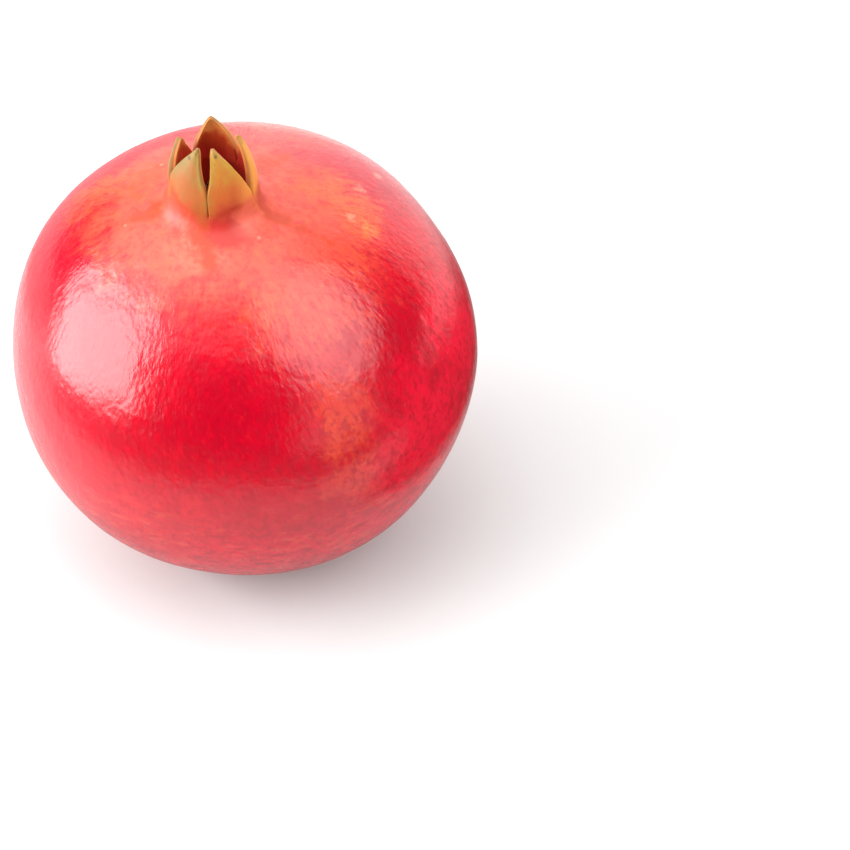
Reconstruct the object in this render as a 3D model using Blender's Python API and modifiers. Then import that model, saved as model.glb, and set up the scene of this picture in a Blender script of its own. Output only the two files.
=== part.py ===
"""Whole pomegranate, standing crown up on the small flat spot at its base.

Three pieces: the fruit, whose leathery rind runs on into the five-lobed calyx crown, the tuft of dried
stamens in the bottom of the crown's cup, and the cut woody stub of the stem in its pit under the fruit.
Metres, +Z up, origin on the surface that the fruit stands on, under the middle of its bounding box.
"""

import math
import random

import bmesh
import bpy
import numpy as np

MM = 0.001

# The body: a turned form, widest a little above half height
BODY_RADIUS = 51.9 * MM
BODY_HEIGHT = 96.0 * MM  # from the surface to the pole that the crown hides
WIDEST_HEIGHT = 48.4 * MM
LOWER_ROUNDNESS = 1.91  # superellipse exponents: 2 is an ellipse, more is fuller
UPPER_ROUNDNESS = 2.04
REST_RADIUS = 13.0 * MM  # the flat spot that the fruit stands on
REST_INNER_RADIUS = 7.6 * MM

# The pit of the stem, in the middle of the flat spot
PIT_RADIUS = 3.5 * MM
PIT_DEPTH = 5.2 * MM
STUB_RADIUS = 2.9 * MM
STUB_CLEARANCE = 0.4 * MM
STUB_CUT_HEIGHT = 0.9 * MM  # the cut face stays clear of the surface

# The crown: a tube that splits into five thick sepals
SEPALS = 5
SHOULDER_RADIUS = 23.0 * MM  # where the neck starts to rise out of the body
TUBE_RADIUS = 9.4 * MM
NOTCH_HEIGHT = 100.0 * MM  # where the tube splits
SEPAL_LENGTH = 14.0 * MM
WALL = 2.2 * MM
TIP_WALL = 1.0 * MM
CUP_RADIUS = 7.5 * MM
CUP_FLOOR_HEIGHT = 91.6 * MM
FRONT_SLIT_AZIMUTH = math.radians(-94)

# The fruit leans as a whole, and the crown sits further off its middle
TOP_SHIFT = (-2.5 * MM, 2.4 * MM)
CROWN_SHIFT = (-2.5 * MM, -4.0 * MM)

# The shoulder is fuller behind on the right
SHOULDER_SWELL = 0.038
SWELL_AZIMUTH = math.radians(42)

# One row for each sepal, anticlockwise from the front slit: length share, how far its tip stands from
# the crown's axis, how far its tip is skewed round the crown, and the shares by which its clockwise and
# anticlockwise edges bulge half way up
SEPAL_SHAPES = (
    (0.96, 5.0 * MM, math.radians(-24), -0.12, 0.0),
    (0.85, 6.2 * MM, math.radians(3), 0.0, 0.0),
    (0.98, 6.0 * MM, math.radians(5), 0.0, 0.0),
    (0.71, 8.0 * MM, math.radians(-4), 0.0, 0.0),
    (0.96, 5.4 * MM, math.radians(10), 0.15, -0.12),
)
# How much higher each slit ends than NOTCH_HEIGHT, anticlockwise from the front one
SLIT_LIFTS = (-1.4 * MM, -0.8 * MM, 1.0 * MM, 1.4 * MM, 2.0 * MM)

# Mesh resolution
COLUMNS_PER_SEPAL = 12
BODY_ROWS = 13  # in each half of the body
NECK_ROWS = 7
SEPAL_ROWS = 8

# The dried stamens
STAMEN_COUNT = 34
STAMEN_LENGTH = 5.2 * MM
STAMEN_RADIUS = 0.36 * MM
STAMEN_SEED = 7
DISC_RADIUS = 6.6 * MM
DISC_GAP = 0.3 * MM
DISC_THICKNESS = 1.2 * MM


def ease(x):
    """0 below 0, 1 above 1, and smooth between."""
    x = np.clip(x, 0.0, 1.0)
    return x * x * (3 - 2 * x)


def superellipse(half_width, half_height, roundness, angle):
    """The point of a superellipse's first quadrant at this angle from its waist."""
    power = 2 / roundness
    return half_width * math.cos(angle) ** power, half_height * math.sin(angle) ** power


def angle_at_radius(half_width, roundness, radius):
    return math.acos((radius / half_width) ** (roundness / 2))


def bezier(start, start_handle, end_handle, end, count):
    """Points of a cubic Bezier curve, without its start."""
    points = []
    for i in range(1, count + 1):
        t = i / count
        weights = ((1 - t) ** 3, 3 * t * (1 - t) ** 2, 3 * t * t * (1 - t), t**3)
        handles = (start, start_handle, end_handle, end)
        points.append(tuple(sum(w * p[i] for w, p in zip(weights, handles)) for i in (0, 1)))
    return points


def body_profile():
    """(radius, height) from the flat spot's edge up the outside to where the neck starts."""
    flat_angle = angle_at_radius(BODY_RADIUS, LOWER_ROUNDNESS, REST_RADIUS)
    reach = math.sin(flat_angle) ** (2 / LOWER_ROUNDNESS)
    lower_height = WIDEST_HEIGHT / reach  # the flat spot cuts a little off the lower half
    points = []
    for i in range(BODY_ROWS):
        angle = flat_angle * (1 - i / BODY_ROWS)
        radius, drop = superellipse(BODY_RADIUS, lower_height, LOWER_ROUNDNESS, angle)
        points.append((radius, max(0.0, WIDEST_HEIGHT - drop)))
    neck_angle = angle_at_radius(BODY_RADIUS, UPPER_ROUNDNESS, SHOULDER_RADIUS)
    for i in range(BODY_ROWS + 1):
        angle = neck_angle * i / BODY_ROWS
        radius, rise = superellipse(BODY_RADIUS, BODY_HEIGHT - WIDEST_HEIGHT, UPPER_ROUNDNESS, angle)
        points.append((radius, WIDEST_HEIGHT + rise))
    return points


def wall_at(share):
    """Thickness of a sepal at this share of its length."""
    return WALL + (TIP_WALL - WALL) * share**0.8


def fruit_profile():
    """The whole outline, from the middle of the cup's floor over the rim and down to the middle of the base."""
    body = body_profile()
    shoulder = body[-1]
    slope = (body[-1][1] - body[-2][1]) / (body[-2][0] - body[-1][0])
    reach = 8.0 * MM
    neck = bezier(
        shoulder,
        (shoulder[0] - reach, shoulder[1] + slope * reach),
        (TUBE_RADIUS + 1.0 * MM, NOTCH_HEIGHT - 6.0 * MM),
        (TUBE_RADIUS + 0.15 * MM, NOTCH_HEIGHT - 1.0 * MM),
        NECK_ROWS,
    )
    shares = [(i / SEPAL_ROWS) ** 0.9 for i in range(SEPAL_ROWS + 1)]
    heights = [NOTCH_HEIGHT + SEPAL_LENGTH * share for share in shares]
    outside = [(TUBE_RADIUS, height) for height in heights]
    rim = (TUBE_RADIUS - TIP_WALL / 2, heights[-1] + 0.35 * MM)
    inside = [(TUBE_RADIUS - wall_at(s), h) for s, h in zip(shares, heights)]
    cup = [
        (0.0, CUP_FLOOR_HEIGHT),
        (3.6 * MM, CUP_FLOOR_HEIGHT),
        (CUP_RADIUS - 0.7 * MM, CUP_FLOOR_HEIGHT),
        (CUP_RADIUS, CUP_FLOOR_HEIGHT + 0.9 * MM),
        (CUP_RADIUS + 0.15 * MM, CUP_FLOOR_HEIGHT + 4.0 * MM),
    ]
    base = [
        (REST_INNER_RADIUS, 0.0),
        (5.6 * MM, 0.8 * MM),
        (PIT_RADIUS + 0.3 * MM, 2.0 * MM),
        (PIT_RADIUS, 2.6 * MM),
        (PIT_RADIUS, PIT_DEPTH),
        (0.0, PIT_DEPTH),
    ]
    return cup + inside + [rim] + outside[::-1] + neck[::-1] + body[-2::-1] + base


def turned(name, profile, steps):
    """Mesh of the profile turned about Z. The profile runs from the top down its outer side."""
    mesh = bpy.data.meshes.new(name)
    points = [(radius, 0, height) for radius, height in profile]
    mesh.from_pydata(points, [(i, i + 1) for i in range(len(points) - 1)], [])
    outline = bpy.data.objects.new(name + "_outline", mesh)
    bpy.context.scene.collection.objects.link(outline)
    screw = outline.modifiers.new("turn", "SCREW")
    screw.steps = screw.render_steps = steps
    screw.use_merge_vertices = True
    screw.merge_threshold = 0.00001
    screw.use_smooth_shade = True
    graph = bpy.context.evaluated_depsgraph_get()
    solid = bpy.data.meshes.new_from_object(outline.evaluated_get(graph))
    solid.name = name
    bpy.data.objects.remove(outline)
    return solid


def azimuth_of(point):
    return math.atan2(point.y, point.x) % math.tau


def open_slits(bm):
    """Splits the crown's tube along the five seams and gives each slit its two side walls.

    Returns the sepal that each vertex above the notches belongs to.
    """
    tiny = 0.01 * MM
    pitch = math.tau / SEPALS

    def on_seam(vertex):
        offset = (azimuth_of(vertex.co) + pitch / 2) % pitch - pitch / 2
        radius = math.hypot(vertex.co.x, vertex.co.y)
        return radius > tiny and abs(offset) * radius < tiny and vertex.co.z > NOTCH_HEIGHT - tiny

    seams = [edge for edge in bm.edges if all(on_seam(v) for v in edge.verts)]
    bmesh.ops.split_edges(bm, edges=seams)

    sepal_of = {}
    for face in bm.faces:
        middle = face.calc_center_median()
        if middle.z > NOTCH_HEIGHT:
            sepal = int(azimuth_of(middle) / pitch)
            for vertex in face.verts:
                if vertex.co.z > NOTCH_HEIGHT + tiny:
                    sepal_of[vertex] = sepal

    sides = {}
    for edge in [edge for edge in bm.edges if edge.is_boundary]:
        middle = edge.link_faces[0].calc_center_median()
        sepal = int(azimuth_of(middle) / pitch)
        side = azimuth_of(middle) - (sepal + 0.5) * pitch > 0
        sides.setdefault((sepal, side), set()).update(edge.verts)
    wall_middle = TUBE_RADIUS - TIP_WALL / 2
    for vertices in sides.values():
        by_height = sorted(vertices, key=lambda v: v.co.z)
        top = by_height.pop()
        outer = [v for v in by_height if math.hypot(v.co.x, v.co.y) > wall_middle]
        inner = [v for v in by_height if math.hypot(v.co.x, v.co.y) < wall_middle]
        for i in range(len(outer) - 1):
            bm.faces.new((outer[i], outer[i + 1], inner[i + 1], inner[i]))
        bm.faces.new((outer[-1], top, inner[-1]))
    bmesh.ops.recalc_face_normals(bm, faces=bm.faces)
    return sepal_of


def slit_lift(azimuth, height):
    """How far a point near a slit's end is raised, so that the five slits end at different heights."""
    pitch = math.tau / SEPALS
    lift = np.zeros_like(azimuth)
    for i, rise in enumerate(SLIT_LIFTS):
        offset = (azimuth - i * pitch + math.pi) % math.tau - math.pi
        lift += rise * ease(1 - np.abs(offset) / (0.6 * pitch))
    below = ease(1 - (NOTCH_HEIGHT - height) / (6 * MM))
    above = ease(1 - (height - NOTCH_HEIGHT) / (SEPAL_LENGTH * 0.9))
    return lift * np.minimum(below, above)


def lobing(azimuth, height):
    """Share by which the body's radius grows: five soft ridges, a slight unevenness and a fuller shoulder."""
    ribs = 0.008 * np.cos(SEPALS * (azimuth - math.pi / SEPALS))
    turn = azimuth + FRONT_SLIT_AZIMUTH
    uneven = 0.003 * np.sin(2 * turn) - 0.0015 * np.cos(3 * turn) - 0.0035 * np.sin(3 * turn)
    above_base = ease(height / (30 * MM))
    below_crown = ease((BODY_HEIGHT + 2 * MM - height) / (26 * MM))
    facing = (0.5 + 0.5 * np.cos(turn - SWELL_AZIMUTH)) ** 16
    on_shoulder = ease((height - 66 * MM) / (18 * MM)) * ease((BODY_HEIGHT + 2 * MM - height) / (14 * MM))
    return (ribs + uneven) * above_base * below_crown + SHOULDER_SWELL * facing * on_shoulder


def shaped_sepals(radius, azimuth, height, sepal):
    """Narrows each sepal to its tip and leans it in. Returns x, y and z of the points above the notches."""
    pitch = math.tau / SEPALS
    shapes = np.array(SEPAL_SHAPES)[sepal]
    share = (height - NOTCH_HEIGHT) / SEPAL_LENGTH
    rise = np.clip(share, 0, 1)
    across = (azimuth - (sepal + 0.5) * pitch) / (pitch / 2)
    depth = TUBE_RADIUS - radius
    stand = TUBE_RADIUS + (shapes[:, 1] - TUBE_RADIUS) * rise**1.7
    bend_radius = TUBE_RADIUS * (1 + 0.35 * rise)
    half_width = TUBE_RADIUS * pitch / 2 * (0.05 + 0.95 * (1 - rise**1.3) ** 0.9)
    half_width = half_width * (1 + np.where(across < 0, shapes[:, 3], shapes[:, 4]) * 4 * rise * (1 - rise))
    turn = across * half_width / bend_radius
    along = (sepal + 0.5) * pitch + shapes[:, 2] * rise**2
    keel = 0.35 * MM * (1 - np.abs(across)) ** 2 * (depth < 0.1 * MM)
    centre = stand - bend_radius
    arc = bend_radius - depth + keel
    out, side = centre + arc * np.cos(turn), arc * np.sin(turn)
    x = out * np.cos(along) - side * np.sin(along)
    y = out * np.sin(along) + side * np.cos(along)
    return x, y, NOTCH_HEIGHT + SEPAL_LENGTH * share * shapes[:, 0]


def grown(points, sepal):
    """Turns the lathe-made form into the grown one: ridges, five shaped sepals, and a crown off the middle."""
    radius = np.hypot(points[:, 0], points[:, 1])
    azimuth = np.arctan2(points[:, 1], points[:, 0]) % math.tau
    height = points[:, 2].copy()
    azimuth = np.where((sepal == SEPALS - 1) & (azimuth < 0.1), azimuth + math.tau, azimuth)

    outside = (radius > CUP_RADIUS + 1 * MM) | (height < BODY_HEIGHT - 10 * MM)
    swell = np.where(outside, lobing(azimuth, height), 0)
    grown_radius = radius * (1 + swell)
    made = np.column_stack((grown_radius * np.cos(azimuth), grown_radius * np.sin(azimuth), height))
    lifted = slit_lift(azimuth, height)
    above = sepal >= 0
    made[above] = np.column_stack(
        shaped_sepals(radius[above], azimuth[above], height[above], sepal[above])
    )
    made[:, 2] += np.where(radius > CUP_RADIUS - 2.5 * MM, lifted, 0)
    return set_off(made)


def set_off(made):
    """Turns the front slit forward and carries the top, and still more the crown, off the fruit's middle."""
    cos, sin = math.cos(FRONT_SLIT_AZIMUTH), math.sin(FRONT_SLIT_AZIMUTH)
    x = made[:, 0] * cos - made[:, 1] * sin
    y = made[:, 0] * sin + made[:, 1] * cos
    z = made[:, 2]
    upper = z > WIDEST_HEIGHT
    crown = (1 - ease((np.hypot(x, y) - 12 * MM) / (24 * MM))) * upper
    top = ease((z / BODY_HEIGHT - 0.45) / 0.55)
    top += (1 - top) * crown
    return np.column_stack(
        (
            x + TOP_SHIFT[0] * top + CROWN_SHIFT[0] * crown,
            y + TOP_SHIFT[1] * top + CROWN_SHIFT[1] * crown,
            z,
        )
    )


def make_fruit(collection, material):
    """The rind and the crown, grown as one piece."""
    mesh = turned("fruit", fruit_profile(), SEPALS * COLUMNS_PER_SEPAL)
    bm = bmesh.new()
    bm.from_mesh(mesh)
    sepal_of = open_slits(bm)
    vertices = list(bm.verts)
    points = np.array([v.co for v in vertices])
    sepal = np.array([sepal_of.get(v, -1) for v in vertices])
    for vertex, place in zip(vertices, grown(points, sepal)):
        vertex.co = place
    bm.to_mesh(mesh)
    bm.free()
    mesh.shade_smooth()
    mesh.set_sharp_from_angle(angle=math.radians(50))
    return placed("fruit", mesh, collection, material)


def placed(name, mesh, collection, material):
    piece = bpy.data.objects.new(name, mesh)
    mesh.materials.append(material)
    collection.objects.link(piece)
    return piece


def stamen(number, draw):
    """One dried stamen: a filament that leans in from the disc and ends in a small anther."""
    golden = math.pi * (3 - math.sqrt(5))
    share = math.sqrt((number + 0.5) / STAMEN_COUNT)
    root = (DISC_RADIUS - 1.0 * MM) * share
    azimuth = number * golden
    length = STAMEN_LENGTH * draw.uniform(0.75, 1.1)
    lean = draw.uniform(-0.55, 0.35)
    twist = draw.uniform(-0.4, 0.4)
    floor = CUP_FLOOR_HEIGHT + DISC_GAP
    curve = bpy.data.curves.new("stamen", "CURVE")
    curve.dimensions = "3D"
    curve.bevel_depth = STAMEN_RADIUS
    curve.bevel_resolution = 0
    curve.use_fill_caps = True
    spline = curve.splines.new("POLY")
    steps = ((0.0, 1.0), (0.35, 0.9), (0.7, 0.9), (0.82, 1.7), (1.0, 1.3))
    spline.points.add(len(steps) - 1)
    for point, (rise, swell) in zip(spline.points, steps):
        out = min(root + lean * length * rise * rise, CUP_RADIUS - 1.3 * MM)
        turn = azimuth + twist * rise
        height = floor + 0.3 * MM + (length + 0.6 * MM) * rise
        point.co = (out * math.cos(turn), out * math.sin(turn), height, 1)
        point.radius = swell
    piece = bpy.data.objects.new("stamen", curve)
    bpy.context.scene.collection.objects.link(piece)
    graph = bpy.context.evaluated_depsgraph_get()
    mesh = bpy.data.meshes.new_from_object(piece.evaluated_get(graph))
    bpy.data.objects.remove(piece)
    return weld(mesh, 0.001 * MM)


def weld(mesh, distance):
    """Joins corners that lie closer together than this, such as those of a curve's loose caps."""
    bm = bmesh.new()
    bm.from_mesh(mesh)
    bmesh.ops.remove_doubles(bm, verts=bm.verts, dist=distance)
    bmesh.ops.recalc_face_normals(bm, faces=bm.faces)
    bm.to_mesh(mesh)
    bm.free()
    return mesh


def make_stamens(collection, material):
    """The tuft: stamens and the short style, joined with the disc that they grow from."""
    floor = CUP_FLOOR_HEIGHT + DISC_GAP
    disc_profile = [
        (0.0, floor + DISC_THICKNESS + 3.2 * MM),
        (0.6 * MM, floor + DISC_THICKNESS + 3.0 * MM),
        (0.8 * MM, floor + DISC_THICKNESS + 0.6 * MM),
        (2.0 * MM, floor + DISC_THICKNESS),
        (DISC_RADIUS - 0.6 * MM, floor + DISC_THICKNESS - 0.3 * MM),
        (DISC_RADIUS, floor + 0.5 * DISC_THICKNESS),
        (DISC_RADIUS - 0.2 * MM, floor),
        (0.0, floor),
    ]
    tuft = placed("dried_stamens", turned("dried_stamens", disc_profile, 30), collection, material)
    repeats = bpy.data.collections.new("stamens")
    bpy.context.scene.collection.children.link(repeats)
    draw = random.Random(STAMEN_SEED)
    for number in range(STAMEN_COUNT):
        repeats.objects.link(bpy.data.objects.new(f"stamen_{number}", stamen(number, draw)))
    union = tuft.modifiers.new("join", "BOOLEAN")
    union.operation = "UNION"
    union.operand_type = "COLLECTION"
    union.collection = repeats
    union.solver = "EXACT"
    graph = bpy.context.evaluated_depsgraph_get()
    joined = bpy.data.meshes.new_from_object(tuft.evaluated_get(graph))
    tuft.modifiers.clear()
    tuft.data = joined
    for piece in list(repeats.objects):
        bpy.data.objects.remove(piece)
    bpy.data.collections.remove(repeats)
    move_to_crown(weld(joined, 0.01 * MM))
    return tuft


def move_to_crown(mesh):
    """Carries a mesh modelled on the turning axis to where the crown sits."""
    points = np.array([v.co for v in mesh.vertices])
    for vertex, place in zip(mesh.vertices, set_off(points)):
        vertex.co = place


def make_stub(collection, material):
    """The cut end of the stem, in its pit, with a slight swelling where it enters the fruit."""
    root = PIT_DEPTH - STUB_CLEARANCE
    profile = [
        (0.0, root),
        (STUB_RADIUS - 0.4 * MM, root),
        (STUB_RADIUS, root - 0.5 * MM),
        (STUB_RADIUS, 2.6 * MM),
        (STUB_RADIUS - 0.35 * MM, 1.6 * MM),
        (STUB_RADIUS - 0.5 * MM, STUB_CUT_HEIGHT + 0.2 * MM),
        (STUB_RADIUS - 0.7 * MM, STUB_CUT_HEIGHT),
        (0.0, STUB_CUT_HEIGHT),
    ]
    return placed("stem_stub", turned("stem_stub", profile, 24), collection, material)


def plain_material(name, colour, roughness):
    material = bpy.data.materials.new(name)
    material.use_nodes = True
    shader = material.node_tree.nodes["Principled BSDF"]
    shader.inputs["Base Color"].default_value = (*colour, 1)
    shader.inputs["Roughness"].default_value = roughness
    shader.inputs["Metallic"].default_value = 0
    return material


def centre_on_box(fruit, pieces):
    """Slides everything sideways so that the middle of the fruit's bounding box is over the origin."""
    points = np.array([v.co for v in fruit.data.vertices])
    middle = (points.min(axis=0) + points.max(axis=0)) / 2
    for piece in pieces:
        for vertex in piece.data.vertices:
            vertex.co.x -= middle[0]
            vertex.co.y -= middle[1]


def main():
    for piece in list(bpy.data.objects):
        bpy.data.objects.remove(piece)
    collection = bpy.data.collections.new("pomegranate")
    bpy.context.scene.collection.children.link(collection)
    rind = plain_material("rind", (0.62, 0.03, 0.045), 0.35)
    dried = plain_material("dried_stamens", (0.19, 0.07, 0.03), 0.8)
    wood = plain_material("stem_wood", (0.28, 0.17, 0.09), 0.8)
    fruit = make_fruit(collection, rind)
    stamens = make_stamens(collection, dried)
    stub = make_stub(collection, wood)
    centre_on_box(fruit, (fruit, stamens, stub))


main()
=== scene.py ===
"""Looks of a whole pomegranate, standing crown up on a white surface in soft studio light.

The rind and its crown are one skin, shaped by rule and finished with a leathery relief. The dried
stamens in the crown's cup repeat by rule. The cut stub of the stem sits in its pit under the fruit.
"""

import math

import bmesh
import bpy
import numpy as np
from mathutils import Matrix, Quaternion, Vector


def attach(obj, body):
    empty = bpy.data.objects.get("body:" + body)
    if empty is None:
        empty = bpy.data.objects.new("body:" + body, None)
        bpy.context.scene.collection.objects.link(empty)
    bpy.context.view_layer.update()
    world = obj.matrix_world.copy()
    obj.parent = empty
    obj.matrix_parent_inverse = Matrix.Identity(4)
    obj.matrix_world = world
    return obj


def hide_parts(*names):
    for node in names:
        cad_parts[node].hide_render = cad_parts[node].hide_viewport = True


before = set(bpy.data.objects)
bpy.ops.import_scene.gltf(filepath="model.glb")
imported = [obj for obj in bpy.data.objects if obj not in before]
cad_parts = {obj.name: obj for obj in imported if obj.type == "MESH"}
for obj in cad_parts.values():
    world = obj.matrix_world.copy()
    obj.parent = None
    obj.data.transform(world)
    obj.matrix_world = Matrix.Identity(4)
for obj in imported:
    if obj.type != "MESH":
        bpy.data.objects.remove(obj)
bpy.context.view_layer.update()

MM = 0.001

# The fruit's form, as it is in the solids
BODY_RADIUS = 51.9 * MM
BODY_HEIGHT = 96.0 * MM
WIDEST_HEIGHT = 48.4 * MM
LOWER_ROUNDNESS = 1.91
UPPER_ROUNDNESS = 2.04
REST_RADIUS = 13.0 * MM
REST_INNER_RADIUS = 7.6 * MM
PIT_RADIUS = 3.5 * MM
PIT_DEPTH = 5.2 * MM
STUB_RADIUS = 2.9 * MM
STUB_CLEARANCE = 0.4 * MM
STUB_CUT_HEIGHT = 0.9 * MM
SEPALS = 5
SHOULDER_RADIUS = 23.0 * MM
TUBE_RADIUS = 9.4 * MM
NOTCH_HEIGHT = 100.0 * MM
SEPAL_LENGTH = 14.0 * MM
WALL = 2.2 * MM
TIP_WALL = 1.0 * MM
CUP_RADIUS = 7.5 * MM
CUP_FLOOR_HEIGHT = 91.6 * MM
FRONT_SLIT_AZIMUTH = math.radians(-94)
TOP_SHIFT = (-2.5 * MM, 2.4 * MM)
CROWN_SHIFT = (-2.5 * MM, -4.0 * MM)
BOX_SHIFT = (-0.03 * MM, -0.60 * MM)  # what centres the solids on their box
RIB_SWELL = 0.008
SHOULDER_SWELL = 0.038
SWELL_AZIMUTH = math.radians(42)
# Each sepal's share of the length, its tip's distance from the middle, its lean to a side, and how far
# its two sides swell. A swell below 0 marks a side on the front slit.
SEPAL_SHAPES = (
    (0.96, 5.0 * MM, math.radians(-24), -0.10, 0.0),
    (0.85, 6.2 * MM, math.radians(3), 0.0, 0.0),
    (0.98, 6.0 * MM, math.radians(5), 0.0, 0.0),
    (0.71, 8.0 * MM, math.radians(-4), 0.0, 0.0),
    (0.96, 5.4 * MM, math.radians(10), 0.15, -0.10),
)
SLIT_LIFTS = (-1.4 * MM, -0.8 * MM, 1.0 * MM, 1.4 * MM, 2.0 * MM)
SEPAL_KEEL = 0.30 * MM
TIP_NARROWING = 0.95
SLIT_CLOSING = 0.78

# Fineness of the skin, which one level of subdivision doubles
COLUMNS_PER_SEPAL = 30
BODY_ROWS = 38
NECK_ROWS = 12
SEPAL_ROWS = 20

# Where the crown's middle stands, for the colours round it
CROWN_X = TOP_SHIFT[0] + CROWN_SHIFT[0] + BOX_SHIFT[0]
CROWN_Y = TOP_SHIFT[1] + CROWN_SHIFT[1] + BOX_SHIFT[1]


# ---- The form ----


def ease(x):
    """0 below 0, 1 above 1, and smooth between."""
    x = np.clip(x, 0.0, 1.0)
    return x * x * (3 - 2 * x)


def superellipse(half_width, half_height, roundness, angle):
    power = 2 / roundness
    return half_width * math.cos(angle) ** power, half_height * math.sin(angle) ** power


def bezier(start, start_handle, end_handle, end, count):
    points = []
    for i in range(1, count + 1):
        t = i / count
        weights = ((1 - t) ** 3, 3 * t * (1 - t) ** 2, 3 * t * t * (1 - t), t**3)
        handles = (start, start_handle, end_handle, end)
        points.append(tuple(sum(w * p[i] for w, p in zip(weights, handles)) for i in (0, 1)))
    return points


def body_profile():
    """(radius, height) from the flat spot's edge up the outside to where the neck starts."""
    flat_angle = math.acos((REST_RADIUS / BODY_RADIUS) ** (LOWER_ROUNDNESS / 2))
    lower_height = WIDEST_HEIGHT / math.sin(flat_angle) ** (2 / LOWER_ROUNDNESS)
    neck_angle = math.acos((SHOULDER_RADIUS / BODY_RADIUS) ** (UPPER_ROUNDNESS / 2))
    points = []
    for i in range(BODY_ROWS):
        angle = flat_angle * (1 - i / BODY_ROWS)
        radius, drop = superellipse(BODY_RADIUS, lower_height, LOWER_ROUNDNESS, angle)
        points.append((radius, max(0.0, WIDEST_HEIGHT - drop)))
    for i in range(BODY_ROWS + 1):
        angle = neck_angle * i / BODY_ROWS
        radius, rise = superellipse(BODY_RADIUS, BODY_HEIGHT - WIDEST_HEIGHT, UPPER_ROUNDNESS, angle)
        points.append((radius, WIDEST_HEIGHT + rise))
    return points


def neck_profile(body):
    shoulder = body[-1]
    slope = (body[-1][1] - body[-2][1]) / (body[-2][0] - body[-1][0])
    reach = 8.0 * MM
    return bezier(
        shoulder,
        (shoulder[0] - reach, shoulder[1] + slope * reach),
        (TUBE_RADIUS + 1.0 * MM, NOTCH_HEIGHT - 6.0 * MM),
        (TUBE_RADIUS + 0.15 * MM, NOTCH_HEIGHT - 1.0 * MM),
        NECK_ROWS,
    )


def wall_at(share):
    return WALL + (TIP_WALL - WALL) * share**0.8


def skin_rows():
    """The skin's whole outline from the stem pit over the rim to the cup's floor.

    Each row is (radius, height, side, on a sepal): side is 0 outside and 1 inside.
    """
    body = body_profile()
    base = [
        (0.0, PIT_DEPTH),
        (PIT_RADIUS * 0.55, PIT_DEPTH),
        (PIT_RADIUS, PIT_DEPTH - 0.2 * MM),
        (PIT_RADIUS, 2.6 * MM),
        (PIT_RADIUS + 0.3 * MM, 2.0 * MM),
        (4.6 * MM, 1.25 * MM),
        (5.6 * MM, 0.8 * MM),
        (6.6 * MM, 0.32 * MM),
        (REST_INNER_RADIUS, 0.0),
        (9.4 * MM, 0.0),
        (11.2 * MM, 0.0),
    ]
    shares = [(i / SEPAL_ROWS) ** 0.9 for i in range(SEPAL_ROWS + 1)]
    heights = [NOTCH_HEIGHT + SEPAL_LENGTH * share for share in shares]
    cup = [
        (CUP_RADIUS + 0.1 * MM, NOTCH_HEIGHT - 1.6 * MM),
        (CUP_RADIUS + 0.1 * MM, NOTCH_HEIGHT - 3.4 * MM),
        (CUP_RADIUS + 0.1 * MM, NOTCH_HEIGHT - 5.2 * MM),
        (CUP_RADIUS, CUP_FLOOR_HEIGHT + 1.4 * MM),
        (CUP_RADIUS - 0.2 * MM, CUP_FLOOR_HEIGHT + 0.5 * MM),
        (CUP_RADIUS - 0.9 * MM, CUP_FLOOR_HEIGHT),
        (CUP_RADIUS - 2.6 * MM, CUP_FLOOR_HEIGHT),
        (2.4 * MM, CUP_FLOOR_HEIGHT),
        (0.0, CUP_FLOOR_HEIGHT),
    ]
    rows = [(r, h, 0, False) for r, h in base + body + neck_profile(body)]
    rows += [(TUBE_RADIUS, h, 0, i > 0) for i, h in enumerate(heights)]
    rows += [(TUBE_RADIUS - TIP_WALL / 2, heights[-1] + 0.35 * MM, 0.5, True)]
    inner = [(TUBE_RADIUS - wall_at(s), h, 1, i > 0) for i, (s, h) in enumerate(zip(shares, heights))]
    rows += inner[::-1]
    rows += [(r, h, 1, False) for r, h in cup]
    return rows


def slit_lift(azimuth, height):
    """How far a point near a slit's end is raised, so that the five slits end at different heights."""
    pitch = math.tau / SEPALS
    lift = np.zeros_like(azimuth)
    for i, rise in enumerate(SLIT_LIFTS):
        offset = (azimuth - i * pitch + math.pi) % math.tau - math.pi
        lift += rise * ease(1 - np.abs(offset) / (0.6 * pitch))
    below = ease(1 - (NOTCH_HEIGHT - height) / (6 * MM))
    above = ease(1 - (height - NOTCH_HEIGHT) / (SEPAL_LENGTH * 0.9))
    return lift * np.minimum(below, above)


def lobing(azimuth, height):
    """Share by which the body's radius grows: soft ridges, unevenness and a fuller shoulder."""
    ribs = RIB_SWELL * np.cos(SEPALS * (azimuth - math.pi / SEPALS))
    turn = azimuth + FRONT_SLIT_AZIMUTH
    uneven = 0.003 * np.sin(2 * turn) - 0.0015 * np.cos(3 * turn) - 0.0035 * np.sin(3 * turn)
    above_base = ease(height / (30 * MM))
    below_crown = ease((BODY_HEIGHT + 2 * MM - height) / (26 * MM))
    facing = (0.5 + 0.5 * np.cos(turn - SWELL_AZIMUTH)) ** 16
    on_shoulder = ease((height - 66 * MM) / (18 * MM))
    on_shoulder = on_shoulder * ease((BODY_HEIGHT + 2 * MM - height) / (14 * MM))
    return (ribs + uneven) * above_base * below_crown + SHOULDER_SWELL * facing * on_shoulder


def margin_wave(sepal, across, rise):
    """The slight waviness of a sepal's edges, different on every side of every sepal."""
    phase = sepal * 2.3 + np.where(across > 0, 1.1, 4.0)
    return 1 + 0.045 * np.sin(9 * rise + phase) * rise + 0.02 * np.sin(23 * rise + 3 * phase) * rise


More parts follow.
